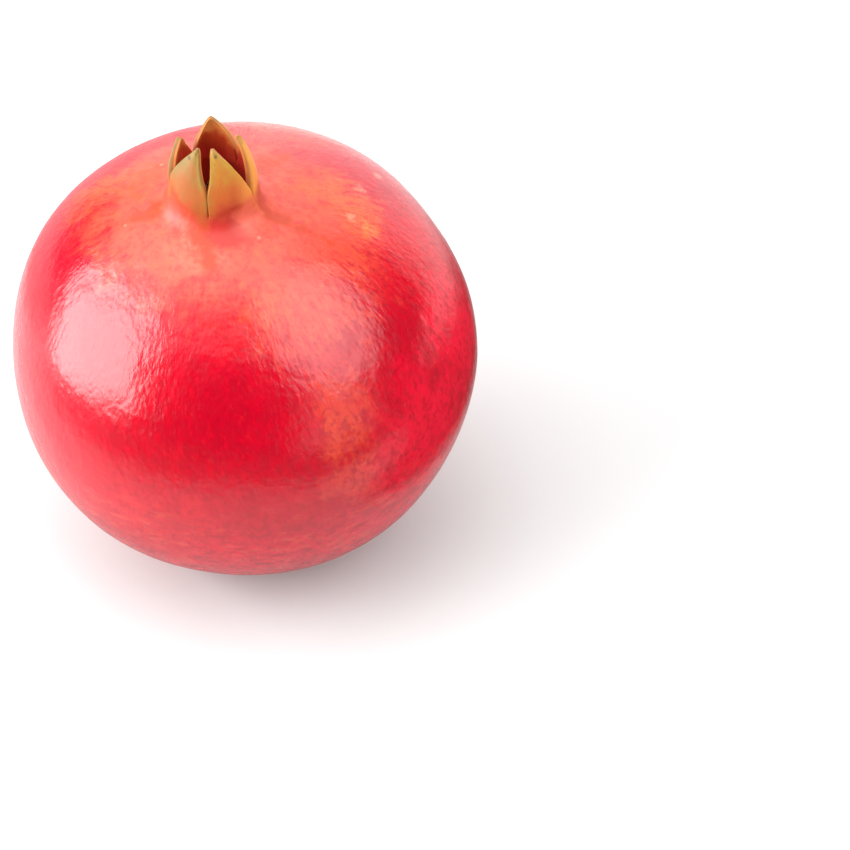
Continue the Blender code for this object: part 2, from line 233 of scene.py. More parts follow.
def shaped_sepals(radius, azimuth, height, sepal):
    """Narrows each sepal to its tip and leans it in. Gives x, y and z of the points above the notches."""
    pitch = math.tau / SEPALS
    shapes = np.array(SEPAL_SHAPES)[sepal]
    share = (height - NOTCH_HEIGHT) / SEPAL_LENGTH
    rise = np.clip(share, 0, 1)
    across = (azimuth - (sepal + 0.5) * pitch) / (pitch / 2)
    depth = TUBE_RADIUS - radius
    stand = TUBE_RADIUS + (shapes[:, 1] - TUBE_RADIUS) * rise**1.7
    bend_radius = TUBE_RADIUS * (1 + 0.35 * rise)
    narrowing = TIP_NARROWING * (1 - (1 - rise**1.3) ** 0.9)
    swell = np.where(across < 0, shapes[:, 3], shapes[:, 4])
    closed = SLIT_CLOSING * (1 - ease((rise - 0.15) / 0.45)) * (swell < 0)
    half_width = TUBE_RADIUS * pitch / 2 * (1 - narrowing * (1 - closed))
    high_up, midway = 12.2 * rise**4 * (1 - rise), 6.75 * rise**2 * (1 - rise)
    half_width = half_width * (1 + swell * np.where(swell < 0, high_up, midway))
    half_width = half_width * margin_wave(sepal, across, rise)
    turn = across * half_width / bend_radius
    along = (sepal + 0.5) * pitch + shapes[:, 2] * rise**2
    keel = SEPAL_KEEL * (1 - across**2) ** 2 * (depth < 0.1 * MM)
    centre = stand - bend_radius
    arc = bend_radius - depth + keel
    out, side = centre + arc * np.cos(turn), arc * np.sin(turn)
    x = out * np.cos(along) - side * np.sin(along)
    y = out * np.sin(along) + side * np.cos(along)
    return x, y, NOTCH_HEIGHT + SEPAL_LENGTH * share * shapes[:, 0]


def set_off(made):
    """Turns the front slit forward, and carries the top, and the crown still further, off the middle."""
    cos, sin = math.cos(FRONT_SLIT_AZIMUTH), math.sin(FRONT_SLIT_AZIMUTH)
    x = made[:, 0] * cos - made[:, 1] * sin
    y = made[:, 0] * sin + made[:, 1] * cos
    z = made[:, 2]
    upper = z > WIDEST_HEIGHT
    crown = (1 - ease((np.hypot(x, y) - 12 * MM) / (24 * MM))) * upper
    top = ease((z / BODY_HEIGHT - 0.45) / 0.55)
    top += (1 - top) * crown
    return np.column_stack(
        (
            x + TOP_SHIFT[0] * top + CROWN_SHIFT[0] * crown + BOX_SHIFT[0],
            y + TOP_SHIFT[1] * top + CROWN_SHIFT[1] * crown + BOX_SHIFT[1],
            z,
        )
    )


def rind_mesh():
    """The skin as one closed mesh, with what the colours need to know stored on its points."""
    rows = skin_rows()
    per = COLUMNS_PER_SEPAL
    around = SEPALS * per
    pitch = math.tau / SEPALS
    places, first = [], []
    for radius, height, side, on_sepal in rows:
        first.append(len(places))
        if radius == 0:
            places.append((0.0, 0.0, height, -1, side, 0.0))
        elif on_sepal:
            for sepal in range(SEPALS):
                for k in range(per + 1):
                    across = 2 * k / per - 1
                    places.append((radius, (sepal + k / per) * pitch, height, sepal, side, across))
        else:
            for k in range(around):
                across = 2 * (k % per) / per - 1
                places.append((radius, k * math.tau / around, height, -1, side, across))

    def corner(row, sepal, k):
        if rows[row][0] == 0:
            return first[row]
        if rows[row][3]:
            return first[row] + sepal * (per + 1) + k
        return first[row] + (sepal * per + k) % around

    faces = []
    for row in range(len(rows) - 1):
        for sepal in range(SEPALS):
            for k in range(per):
                turn = ((row, k), (row, k + 1), (row + 1, k + 1), (row + 1, k))
                faces.append(tuple(dict.fromkeys(corner(i, sepal, j) for i, j in turn)))
    rim = next(i for i, row in enumerate(rows) if row[2] == 0.5)
    for sepal in range(SEPALS):
        for k in (0, per):
            for step in range(1, SEPAL_ROWS + 1):
                sides = (rim - step, rim - step - 1, rim + step + 1, rim + step)
                faces.append(tuple(corner(i, sepal, k) for i in sides))
            faces.append(tuple(corner(i, sepal, k) for i in (rim - 1, rim, rim + 1)))

    data = np.array(places)
    radius, azimuth, height = data[:, 0], data[:, 1], data[:, 2]
    sepal = data[:, 3].astype(int)
    outside = (radius > CUP_RADIUS + 1 * MM) | (height < BODY_HEIGHT - 10 * MM)
    grown = radius * (1 + np.where(outside, lobing(azimuth, height), 0))
    made = np.column_stack((grown * np.cos(azimuth), grown * np.sin(azimuth), height))
    above = sepal >= 0
    made[above] = np.column_stack(
        shaped_sepals(radius[above], azimuth[above], height[above], sepal[above])
    )
    made[:, 2] += np.where(radius > CUP_RADIUS - 2.5 * MM, slit_lift(azimuth, height), 0)
    made = set_off(made)

    mesh = bpy.data.meshes.new("rind")
    mesh.from_pydata(made.tolist(), [], faces)
    store(mesh, "level", (height - NOTCH_HEIGHT) / SEPAL_LENGTH)
    store(mesh, "inside", data[:, 4])
    store(mesh, "across", np.abs(data[:, 5]))
    between = ease(height / (12 * MM)) * ease((NOTCH_HEIGHT - 2 * MM - height) / (5 * MM))
    store(mesh, "relief", between * (data[:, 4] == 0))
    bm = bmesh.new()
    bm.from_mesh(mesh)
    bmesh.ops.recalc_face_normals(bm, faces=bm.faces)
    bm.to_mesh(mesh)
    bm.free()
    mesh.shade_smooth()
    return mesh


def store(mesh, name, values):
    layer = mesh.attributes.new(name, "FLOAT", "POINT")
    layer.data.foreach_set("value", np.asarray(values, dtype=np.float32))


# ---- Node trees ----


class Wiring:
    """Short calls for filling a node tree."""

    def __init__(self, tree):
        self.tree = tree

    def node(self, kind, **settings):
        made = self.tree.nodes.new(kind)
        for name, value in settings.items():
            setattr(made, name, value)
        return made

    def feed(self, socket, value):
        """Links a socket to an output, or gives it a constant."""
        if isinstance(value, bpy.types.NodeSocket):
            self.tree.links.new(value, socket)
        elif value is not None:
            socket.default_value = value

    def math(self, operation, *values):
        made = self.node("ShaderNodeMath", operation=operation)
        for socket, value in zip(made.inputs, values):
            self.feed(socket, value)
        return made.outputs[0]

    def plus(self, first, second):
        return self.math("ADD", first, second)

    def minus(self, first, second):
        return self.math("SUBTRACT", first, second)

    def times(self, first, second):
        return self.math("MULTIPLY", first, second)

    def split(self, vector):
        """The x, y and z of a vector."""
        made = self.node("ShaderNodeSeparateXYZ")
        self.feed(made.inputs[0], vector)
        return made.outputs

    def joined(self, *values):
        """A vector of these x, y and z. What is left out, or None, is 0."""
        made = self.node("ShaderNodeCombineXYZ")
        for socket, value in zip(made.inputs, values):
            self.feed(socket, value)
        return made.outputs[0]

    def vector(self, operation, *values):
        made = self.node("ShaderNodeVectorMath", operation=operation)
        sockets = [made.inputs[0], made.inputs["Scale"]] if operation == "SCALE" else made.inputs
        for socket, value in zip(sockets, values):
            self.feed(socket, value)
        one_number = operation in ("LENGTH", "DISTANCE", "DOT_PRODUCT")
        return made.outputs["Value" if one_number else "Vector"]

    def band(self, value, low, high, start=0.0, end=1.0):
        """start below low, end above high, and smooth between."""
        made = self.node("ShaderNodeMapRange", interpolation_type="SMOOTHSTEP")
        names = ("Value", "From Min", "From Max", "To Min", "To Max")
        for name, setting in zip(names, (value, low, high, start, end)):
            self.feed(made.inputs[name], setting)
        return made.outputs["Result"]

    def mix(self, factor, first, second):
        """The first colour where the factor is 0, and the second where it is 1."""
        made = self.node("ShaderNodeMix", data_type="RGBA")
        for i, value in ((0, factor), (6, first), (7, second)):  # the sockets that are for colours
            self.feed(made.inputs[i], value)
        return made.outputs[2]

    def noise(self, vector, size, detail=2.0, roughness=0.5, seed=0.0):
        """Noise from 0 to 1 whose lumps are about this size, in metres."""
        made = self.node("ShaderNodeTexNoise", noise_dimensions="4D")
        scale = self.math("DIVIDE", 1.0, size) if isinstance(size, bpy.types.NodeSocket) else 1 / size
        for name, value in (
            ("Vector", vector),
            ("W", seed),
            ("Scale", scale),
            ("Detail", detail),
            ("Roughness", roughness),
        ):
            self.feed(made.inputs[name], value)
        return made.outputs[0]

    def attribute(self, name):
        return self.node("ShaderNodeAttribute", attribute_name=name).outputs["Fac"]

    def place(self):
        return self.node("ShaderNodeTexCoord").outputs["Object"]

    def grouped(self, group, **values):
        made = self.node("ShaderNodeGroup", node_tree=group)
        for name, value in values.items():
            self.feed(made.inputs[name.replace("_", " ")], value)
        return made.outputs[0]

    def bump(self, shader, height, depth):
        """Gives a shader relief. The height is from about 0 to 1, and the depth is in metres."""
        made = self.node("ShaderNodeBump")
        self.feed(made.inputs["Distance"], depth)
        self.feed(made.inputs["Height"], height)
        self.feed(shader.inputs["Normal"], made.outputs["Normal"])

    def end_in(self, out, shape, finish):
        """Ends a geometry tree in plain geometry with its finish."""
        solid = self.node("GeometryNodeRealizeInstances")
        self.feed(solid.inputs[0], shape)
        coated = self.node("GeometryNodeSetMaterial")
        self.feed(coated.inputs["Geometry"], solid.outputs[0])
        self.feed(coated.inputs["Material"], finish)
        self.feed(out, coated.outputs[0])


def new_group(name, inputs, output, kind="ShaderNodeTree"):
    """A node group. inputs is a list of (name, socket type, default)."""
    tree = bpy.data.node_groups.new(name, kind)
    for label, socket_type, default in inputs:
        socket = tree.interface.new_socket(label, in_out="INPUT", socket_type=socket_type)
        if default is not None:
            socket.default_value = default
    tree.interface.new_socket(output[0], in_out="OUTPUT", socket_type=output[1])
    wiring = Wiring(tree)
    return wiring, wiring.node("NodeGroupInput").outputs, wiring.node("NodeGroupOutput").inputs


def colour(red, green, blue):
    """A paint colour given as screen values from 0 to 255."""
    channels = [c / 255 for c in (red, green, blue)]
    linear = [c / 12.92 if c <= 0.04045 else ((c + 0.055) / 1.055) ** 2.4 for c in channels]
    return (*linear, 1.0)


def meridian_streaks():
    """Noise drawn out along the lines from the crown to the stem, and round close to the crown."""
    radius = 52 * MM  # the widest circle, which the streaks' width is measured on
    middle = 50 * MM  # the height and the radius that their length is measured with
    tree, given, out = new_group(
        "streaks from crown to stem",
        [
            ("Vector", "NodeSocketVector", None),
            ("Across", "NodeSocketFloat", 1.0 * MM),
            ("Along", "NodeSocketFloat", 4.0 * MM),
            ("Detail", "NodeSocketFloat", 2.0),
            ("Seed", "NodeSocketFloat", 0.0),
        ],
        ("Streak", "NodeSocketFloat"),
    )
    x, y, z = tree.split(given["Vector"])
    top = tree.band(z, 45 * MM, 96 * MM)
    flat = tree.joined(tree.minus(x, tree.times(top, CROWN_X)), tree.minus(y, tree.times(top, CROWN_Y)))
    reach = tree.vector("LENGTH", flat)
    polar = tree.math("ARCTAN2", reach, tree.minus(z, middle))
    around = tree.vector("SCALE", tree.vector("NORMALIZE", flat), radius)
    around = tree.vector("SCALE", around, tree.math("DIVIDE", 1.0, given["Across"]))
    along = tree.math("DIVIDE", tree.times(polar, middle), given["Along"])
    grain = tree.vector("ADD", around, tree.joined(None, None, along))
    drawn = tree.noise(grain, 1.0, detail=given["Detail"], roughness=0.55, seed=given["Seed"])
    size = tree.times(given["Across"], 1.3)
    lumps = tree.noise(given["Vector"], size, detail=given["Detail"], roughness=0.55, seed=given["Seed"])
    apart = tree.band(reach, 14 * MM, 36 * MM)
    tree.feed(out[0], tree.plus(lumps, tree.times(apart, tree.minus(drawn, lumps))))
    return tree.tree


def ragged_patch():
    """A round patch, 1 inside and 0 outside, whose edge is made ragged by a wave round zero."""
    tree, given, out = new_group(
        "ragged patch",
        [
            ("Vector", "NodeSocketVector", None),
            ("Middle", "NodeSocketVector", None),
            ("Radius", "NodeSocketFloat", 10 * MM),
            ("Wave", "NodeSocketFloat", 0.0),
        ],
        ("Mask", "NodeSocketFloat"),
    )
    away = tree.vector("DISTANCE", given["Vector"], given["Middle"])
    ragged = tree.plus(tree.math("DIVIDE", away, given["Radius"]), given["Wave"])
    tree.feed(out[0], tree.band(ragged, 0.35, 1.25, 1.0, 0.0))
    return tree.tree


def leathery_grain():
    """Height of the fine leathery grain: low lumps, with finer wrinkles between them."""
    tree, given, out = new_group(
        "leathery grain",
        [
            ("Vector", "NodeSocketVector", None),
            ("Size", "NodeSocketFloat", 1.2 * MM),
            ("Wrinkles", "NodeSocketFloat", 0.4),
            ("Seed", "NodeSocketFloat", 0.0),
        ],
        ("Height", "NodeSocketFloat"),
    )
    lumps = tree.noise(given["Vector"], given["Size"], seed=given["Seed"])
    broad = tree.noise(given["Vector"], tree.times(given["Size"], 3.2), seed=given["Seed"])
    ridge = tree.math("ABSOLUTE", tree.minus(broad, 0.5))
    wrinkle = tree.times(tree.band(ridge, 0.0, 0.08, -1.0, 0.0), given["Wrinkles"])
    tree.feed(out[0], tree.plus(lumps, wrinkle))
    return tree.tree


def new_material(name, slot_colour):
    material = bpy.data.materials.new(name)
    material.use_nodes = True
    material.diffuse_color = slot_colour
    wiring = Wiring(material.node_tree)
    shader = material.node_tree.nodes["Principled BSDF"]
    return material, wiring, shader


# ---- Finishes ----

CRIMSON = (0.41, 0.0, 0.011, 1)
DEEP_CRIMSON = (0.31, 0.0, 0.009, 1)
# A brighter crimson, painted fill light for the lower half and the right side
PAINTED_FILL_CRIMSON = (0.66, 0.0, 0.022, 1)
BRIGHT_RED = (0.50, 0.003, 0.012, 1)
SALMON = (0.61, 0.062, 0.032, 1)
PALE_SALMON = (0.68, 0.11, 0.062, 1)
ORANGE = (0.61, 0.070, 0.011, 1)
DEEP_ORANGE = (0.60, 0.045, 0.004, 1)
YELLOW_ORANGE = (0.66, 0.16, 0.028, 1)
LENTICEL = (0.58, 0.24, 0.15, 1)
RUSSET = (0.19, 0.065, 0.020, 1)
NECK_RED = (0.40, 0.030, 0.004, 1)
FOOT_RED = (0.40, 0.012, 0.006, 1)
SEPAL_ORANGE = (0.47, 0.086, 0.004, 1)
# A darker copy of the sepal orange, painted shade for the left of the crown
SEPAL_ORANGE_SHADED = (0.31, 0.072, 0.003, 1)
SEPAL_PEACH = (0.70, 0.26, 0.040, 1)
# A dark dry khaki: the inner tips' own colour, and painted shade on the left of the crown
DRY_KHAKI_AND_SHADE = (0.18, 0.115, 0.017, 1)
KHAKI_SUNNY = (0.44, 0.215, 0.010, 1)
DRY_BROWN = (0.060, 0.030, 0.009, 1)
RIM_TAN = (0.40, 0.140, 0.040, 1)
# A darker copy of the rim tan, painted shade for the left of the crown
RIM_TAN_SHADED = (0.25, 0.070, 0.016, 1)
CUP_TAN = (0.58, 0.180, 0.035, 1)
CUP_BROWN = (0.38, 0.030, 0.001, 1)
CUP_MAROON = (0.36, 0.009, 0.001, 1)


def rind_material(streaks, patch, grain):
    """Waxy red skin, paler and more orange towards the crown, drying to khaki on the sepals."""
    material, tree, shader = new_material("mottled rind", CRIMSON)
    place = tree.place()
    level, inside, across = (tree.attribute(n) for n in ("level", "inside", "across"))
    away = tree.vector("DISTANCE", place, (CROWN_X, CROWN_Y, 96 * MM))

    # Ground colour, in broad clouds
    clouds = tree.noise(place, 34 * MM, detail=3.0, seed=3.1)
    blots = tree.noise(place, 7 * MM, detail=4.0, roughness=0.6, seed=8.4)
    mottle = tree.grouped(streaks, Vector=place, Across=2.9 * MM, Along=5.5 * MM, Detail=2.5, Seed=2.0)
    fine = tree.grouped(streaks, Vector=place, Across=1.5 * MM, Along=2.3 * MM, Detail=1.5, Seed=6.0)
    stipple = tree.noise(place, 1.3 * MM, detail=1.5, roughness=0.55, seed=5.2)
    fleck = tree.grouped(streaks, Vector=place, Across=1.1 * MM, Along=1.5 * MM, Detail=1.5, Seed=14.0)
    skin = tree.mix(tree.band(clouds, 0.5, 0.7), CRIMSON, BRIGHT_RED)
    skin = tree.mix(tree.times(tree.band(blots, 0.48, 0.7), 0.6), skin, DEEP_CRIMSON)
    x, _, z = tree.split(place)
    # Painted fill light: low down, except on the left towards the softbox, the crimson is painted
    # brighter
    lower = tree.band(z, 32 * MM, 50 * MM, 1.0, 0.0)
    slant = tree.minus(x, tree.times(z, 0.8))
    painted_fill_tint = tree.mix(tree.band(slant, -55 * MM, -28 * MM), CRIMSON, PAINTED_FILL_CRIMSON)
    skin = tree.mix(tree.times(lower, 0.85), skin, painted_fill_tint)

    # Waves for the edges of patches, each for patches up to a radius in mm
    waves = []
    for up_to, size in ((2.5, 0.6 * MM), (7.5, 2.6 * MM), (40.0, 5.5 * MM)):
        lumps = tree.noise(place, size, detail=3.0, roughness=0.6, seed=1.0)
        waves.append((up_to, tree.times(tree.minus(tree.plus(lumps, mottle), 1.0), 1.45)))

    def ragged_spot(middle, radius, wave):
        """The mask of a patch whose middle and radius are in mm."""
        middle = tuple(c * MM for c in middle)
        return tree.grouped(patch, Vector=place, Middle=middle, Radius=radius * MM, Wave=wave)

    def painted(under, spots):
        """Paints patches over a colour. spots is a list of (middle, radius, tint, weight)."""
        for middle, radius, tint, weight in spots:
            wave = next(wave for up_to, wave in waves if radius <= up_to)
            under = tree.mix(tree.times(ragged_spot(middle, radius, wave), weight), under, tint)
        return under

    # The paler blush round the crown and a little way down the right of the front
    ragged = tree.times(tree.minus(blots, 0.5), 18 * MM)
    drawn_out = tree.times(tree.minus(mottle, 0.5), 20 * MM)
    rough_away = tree.plus(away, tree.plus(ragged, drawn_out))
    blush = tree.band(rough_away, 19 * MM, 33 * MM, 1.0, 0.0)
    for middle, radius, weight in (((13, -22, 88), 15, 0.75), ((20, -8, 90), 16, 0.85)):
        side = ragged_spot(middle, radius, waves[-1][1])
        blush = tree.math("MAXIMUM", blush, tree.times(side, weight))
    skin = tree.mix(tree.times(blush, 0.95), skin, SALMON)

    # Orange, red and crimson patches
    skin = painted(skin, (
        ((-34, 8, 86), 8, DEEP_ORANGE, 0.95),
        ((-25, 8, 91), 9, DEEP_ORANGE, 0.95),
        ((-17.5, 10, 93.6), 7, DEEP_ORANGE, 0.85),
        ((-21, 29, 85), 11, BRIGHT_RED, 0.6),
        ((-41.3, -1.6, 79.6), 6, CRIMSON, 0.3),
        ((-36, 4.5, 84.9), 6, BRIGHT_RED, 0.45),
        ((-33, -2.5, 87), 6, SALMON, 0.3),
        ((-45, -8, 71), 8, BRIGHT_RED, 0.6),
        ((17.5, 7, 91.4), 8, ORANGE, 0.95),
        ((26, 2, 88.3), 7, ORANGE, 0.9),
        ((15, 12, 91.6), 5, BRIGHT_RED, 0.4),
        ((28.4, -2.1, 86.8), 2.8, YELLOW_ORANGE, 0.7),
        ((25.6, 9.8, 88), 1.7, LENTICEL, 0.5),
        ((24.3, -0.7, 89.1), 1.4, LENTICEL, 0.5),
        ((29.6, 18.2, 83.9), 1.3, LENTICEL, 0.5),
        ((39, 3.4, 78.5), 8, BRIGHT_RED, 0.6),
        ((30.6, -12.2, 83.4), 6, BRIGHT_RED, 0.5),
        ((34.6, -3.7, 82.1), 7, BRIGHT_RED, 0.9),
        ((41, -3, 75.5), 11, BRIGHT_RED, 0.9),
        # Painted fill light: two brighter crimson patches on the right side, away from the softbox
        ((46.5, -8, 64), 13, PAINTED_FILL_CRIMSON, 0.9),
        ((41, -31, 54), 18, PAINTED_FILL_CRIMSON, 0.8),
        ((-7, -43, 72), 13, DEEP_CRIMSON, 0.7),
        ((-20, -44, 62), 14, DEEP_CRIMSON, 0.6),
        ((22, -37, 68), 12, BRIGHT_RED, 0.8),
        ((22, -38.7, 71.6), 7, ORANGE, 0.3),
        ((23.7, -42.8, 63.7), 7, ORANGE, 0.35),
        ((24.4, -45.7, 54.4), 7, SALMON, 0.35),
        ((-2, -31.6, 85.4), 7, BRIGHT_RED, 0.7),
        ((7.4, -25.8, 88.4), 6, ORANGE, 0.45),
        ((-7.4, -16.7, 94.3), 7, PALE_SALMON, 0.7),
        ((8, 34, 80), 16, ORANGE, 0.6),
        ((-30, 34, 62), 14, BRIGHT_RED, 0.6),
    ))

    # Mottling and stipple, drawn out from crown to stem: red on the blush, deeper on the red
    skin = tree.mix(tree.band(fine, 0.3, 0.46, 0.4, 0.0), skin, BRIGHT_RED)
    calm = tree.band(blush, 0.5, 1.0, 1.0, 0.6)
    skin = tree.mix(tree.times(tree.band(mottle, 0.5, 0.76, 0.0, 0.7), calm), skin, CRIMSON)
    skin = tree.mix(tree.times(tree.band(fine, 0.5, 0.7, 0.0, 0.55), calm), skin, DEEP_CRIMSON)
    skin = tree.mix(tree.times(tree.band(stipple, 0.5, 0.68, 0.0, 0.5), calm), skin, DEEP_CRIMSON)
    # Low down, horizontal darker and paler banding: partly mottling, and partly painted reflection
    # streaks of the floor
    squat = tree.vector("MULTIPLY", place, (1, 1, 2.0))
    banding_and_reflection_streaks = tree.noise(squat, 4.5 * MM, detail=3.0, roughness=0.6, seed=16.0)
    low_down = tree.band(z, 38 * MM, 60 * MM, 1.0, 0.0)
    skin = tree.mix(tree.times(tree.band(banding_and_reflection_streaks, 0.5, 0.66, 0.0, 0.75), low_down), skin, DEEP_CRIMSON)
    skin = tree.mix(tree.times(tree.band(banding_and_reflection_streaks, 0.32, 0.48, 0.33, 0.0), low_down), skin, SALMON)
    pale = tree.times(tree.band(fine, 0.46, 0.3), tree.band(blush, 0.0, 1.0, 0.0, 0.3))
    skin = tree.mix(pale, skin, YELLOW_ORANGE)
    # Pale salmon flecks: partly specks of the skin, and partly painted glints
    clusters = tree.noise(place, 5 * MM, seed=9.3)
    clusters = tree.math("MAXIMUM", tree.band(clusters, 0.5, 0.62), blush)
    flecks_and_glints = tree.times(tree.band(fleck, 0.48, 0.32), clusters)
    flecks_and_glints = tree.times(flecks_and_glints, tree.band(blush, 0.0, 0.6, 0.25, 1.0))
    skin = tree.mix(tree.times(flecks_and_glints, 0.3), skin, SALMON)

    # Pale pores, sparse and mostly high up on the right
    pores = tree.node("ShaderNodeTexVoronoi", feature="F1", voronoi_dimensions="3D")
    tree.feed(pores.inputs["Vector"], place)
    tree.feed(pores.inputs["Scale"], 1 / (7.5 * MM))
    chance = tree.node("ShaderNodeSeparateColor")
    tree.feed(chance.inputs[0], pores.outputs["Color"])
    spot = tree.band(pores.outputs["Distance"], 0.03, 0.085, 1.0, 0.0)
    spot = tree.times(spot, tree.band(chance.outputs[0], 0.4, 0.7))
    spot = tree.times(spot, tree.band(blush, 0.0, 0.6, 0.05, 0.5))
    skin = tree.mix(spot, skin, LENTICEL)

    # Russet round the stem pit
    low = tree.plus(tree.vector("DISTANCE", place, (0, 0, 1 * MM)), tree.times(blots, 9 * MM))
    skin = tree.mix(tree.band(low, 9 * MM, 15 * MM, 0.9, 0.0), skin, RUSSET)

    # The crown's outside: red climbs the middle of each sepal, and its edges and top dry to khaki
    # Painted shade: on the left, towards the softbox, the sepals are painted in darker shaded copies of
    # their orange and khaki. sunny marks the right, which keeps the lighter copies
    sunny = tree.band(x, CROWN_X - 6 * MM, CROWN_X + 6 * MM)
    cloudy = tree.noise(place, 3.4 * MM, detail=3.0, roughness=0.55, seed=7.7)
    dry = tree.plus(level, tree.times(tree.math("POWER", across, 3.0), 0.38))
    dry = tree.plus(dry, tree.times(tree.minus(cloudy, 0.5), 0.95))
    crown = tree.mix(tree.band(dry, -0.36, -0.06), skin, NECK_RED)
    crown = tree.mix(tree.band(dry, -0.06, 0.36), crown, tree.mix(sunny, SEPAL_ORANGE_SHADED, SEPAL_ORANGE))
    crown = tree.mix(tree.band(dry, 0.3, 0.95), crown, tree.mix(sunny, DRY_KHAKI_AND_SHADE, KHAKI_SUNNY))
    upright = tree.vector("MULTIPLY", place, (1, 1, 0.2))
    fibre = tree.noise(upright, 1.5 * MM, detail=3.0, seed=11.0)
    veined = tree.times(tree.band(fibre, 0.5, 0.75), tree.band(level, -0.1, 0.5, 0.0, 0.35))
    crown = tree.mix(veined, crown, SEPAL_ORANGE)
    to_right = tree.band(x, CROWN_X + 4.5 * MM, CROWN_X + 9 * MM, 0.0, 0.85)
    crown = tree.mix(tree.times(to_right, tree.band(level, -0.15, 0.2)), crown, SEPAL_PEACH)
    speck = tree.noise(place, 1.1 * MM, detail=3.0, roughness=0.6, seed=4.4)
    speck = tree.times(tree.band(speck, 0.56, 0.68), tree.band(level, 0.6, 1.0))
    crown = tree.mix(tree.times(speck, 0.6), crown, DRY_BROWN)
    crown = painted(crown, (
        ((-9.2, -7.0, 111.5), 0.55, DRY_BROWN, 0.75),
        ((-3.7, -7.8, 112.4), 0.45, DRY_BROWN, 0.75),
        ((-1.9, -12.8, 95.8), 4.8, FOOT_RED, 0.95),
        ((-12.6, -12.5, 95.6), 1.8, FOOT_RED, 0.6),
        # Painted light: a paler patch on the neck's right foot lightens the shadow that the crown casts
        # there
        ((2.5, -9.4, 97.6), 4.0, PALE_SALMON, 0.7),
    ))

    # The inside of the crown and cup, darker with depth and paler towards the edges
    fringe = tree.math("POWER", across, 2.0)
    uneven = tree.minus(tree.plus(tree.times(cloudy, 0.7), tree.times(fibre, 0.5)), 0.6)
    depth = tree.plus(level, uneven)
    paler = tree.band(tree.plus(depth, tree.times(fringe, 0.45)), 0.6, 1.05)
    lining = tree.mix(paler, CUP_BROWN, CUP_TAN)
    hollow = tree.band(tree.plus(depth, tree.times(fringe, 0.2)), 0.1, 0.6, 1.0, 0.0)
    lining = tree.mix(hollow, lining, CUP_MAROON)
    # The rims too are painted shade: a darker tan on the left, and the lighter tan on the right
    crown = tree.mix(tree.band(inside, 0.1, 0.5), crown, tree.mix(sunny, RIM_TAN_SHADED, RIM_TAN))
    crown = tree.mix(tree.band(inside, 0.55, 0.95), crown, lining)
    # The dry tips inside, in the dark khaki that also paints the shade on the left
    crown = tree.mix(tree.times(tree.band(depth, 0.84, 1.0), 0.4), crown, DRY_KHAKI_AND_SHADE)
    tree.feed(shader.inputs["Base Color"], crown)

    # Gloss: waxy on the body, dry on the crown
    dryness = tree.math("MAXIMUM", tree.band(level, -0.9, 0.2), inside)
    gloss = tree.band(fine, 0.3, 0.7, 0.20, 0.26)
    rough = tree.plus(gloss, tree.times(dryness, 0.4))
    tree.feed(shader.inputs["Roughness"], rough)

    # Relief: leathery grain all over, and fibres on the crown
    fine_grain = tree.grouped(grain, Vector=place, Size=1.4 * MM, Wrinkles=0.12, Seed=1.0)
    broad_grain = tree.grouped(grain, Vector=place, Size=4.2 * MM, Wrinkles=0.1, Seed=2.0)
    drawn = tree.grouped(streaks, Vector=place, Across=1.2 * MM, Along=1.9 * MM, Detail=1.5, Seed=9.0)
    on_body = tree.minus(1.0, dryness)
    relief = tree.plus(tree.times(fine_grain, 0.35), tree.times(drawn, 0.75))
    relief = tree.plus(relief, tree.times(broad_grain, 1.6))
    relief = tree.times(relief, tree.plus(tree.times(on_body, 0.7), 0.3))
    relief = tree.plus(relief, tree.times(tree.times(fibre, dryness), 1.6))
    tree.bump(shader, relief, 0.12 * MM)
    return material


def stamen_material(grain):
    """Dried filaments: brown, paler and darker at random, and quite matt."""
    material, tree, shader = new_material("dried stamens", colour(104, 58, 30))
    place = tree.place()
    hue = tree.noise(place, 0.9 * MM, detail=3.0, roughness=0.6, seed=1.5)
    tint = tree.mix(tree.band(hue, 0.35, 0.65), colour(70, 34, 16), colour(150, 92, 46))
    tree.feed(shader.inputs["Base Color"], tint)
    tree.feed(shader.inputs["Roughness"], tree.band(hue, 0.3, 0.7, 0.65, 0.9))
    rough = tree.grouped(grain, Vector=place, Size=0.5 * MM, Wrinkles=0.4, Seed=3.0)
    tree.bump(shader, rough, 0.08 * MM)
    return material


def wood_material(grain):
    """The cut stem: pale pith with rings, inside a grey-brown bark."""
    material, tree, shader = new_material("stem wood", colour(140, 110, 76))
    place = tree.place()
    x, y, _ = tree.split(place)
    reach = tree.vector("LENGTH", tree.joined(tree.minus(x, BOX_SHIFT[0]), tree.minus(y, BOX_SHIFT[1])))
    waver = tree.times(tree.noise(place, 1.4 * MM, seed=2.2), 0.5 * MM)
    rings = tree.math("SINE", tree.times(tree.plus(reach, waver), math.tau / (0.62 * MM)))
    wood = tree.mix(tree.band(rings, -0.6, 0.9), colour(176, 140, 96), colour(128, 92, 58))
    wood = tree.mix(tree.band(reach, 0.45 * MM, 0.75 * MM, 1.0, 0.0), wood, colour(96, 62, 38))
    flakes = tree.noise(place, 0.8 * MM, detail=4.0, seed=6.0)
    bark = tree.mix(flakes, colour(84, 66, 44), colour(138, 116, 84))
    on_side = tree.band(tree.plus(reach, waver), 2.35 * MM, 2.6 * MM)
    tree.feed(shader.inputs["Base Color"], tree.mix(on_side, wood, bark))
    shader.inputs["Roughness"].default_value = 0.8
    rough = tree.grouped(grain, Vector=place, Size=0.7 * MM, Wrinkles=0.5, Seed=7.0)
    tree.bump(shader, rough, 0.12 * MM)
    return material


# ---- Pieces ----


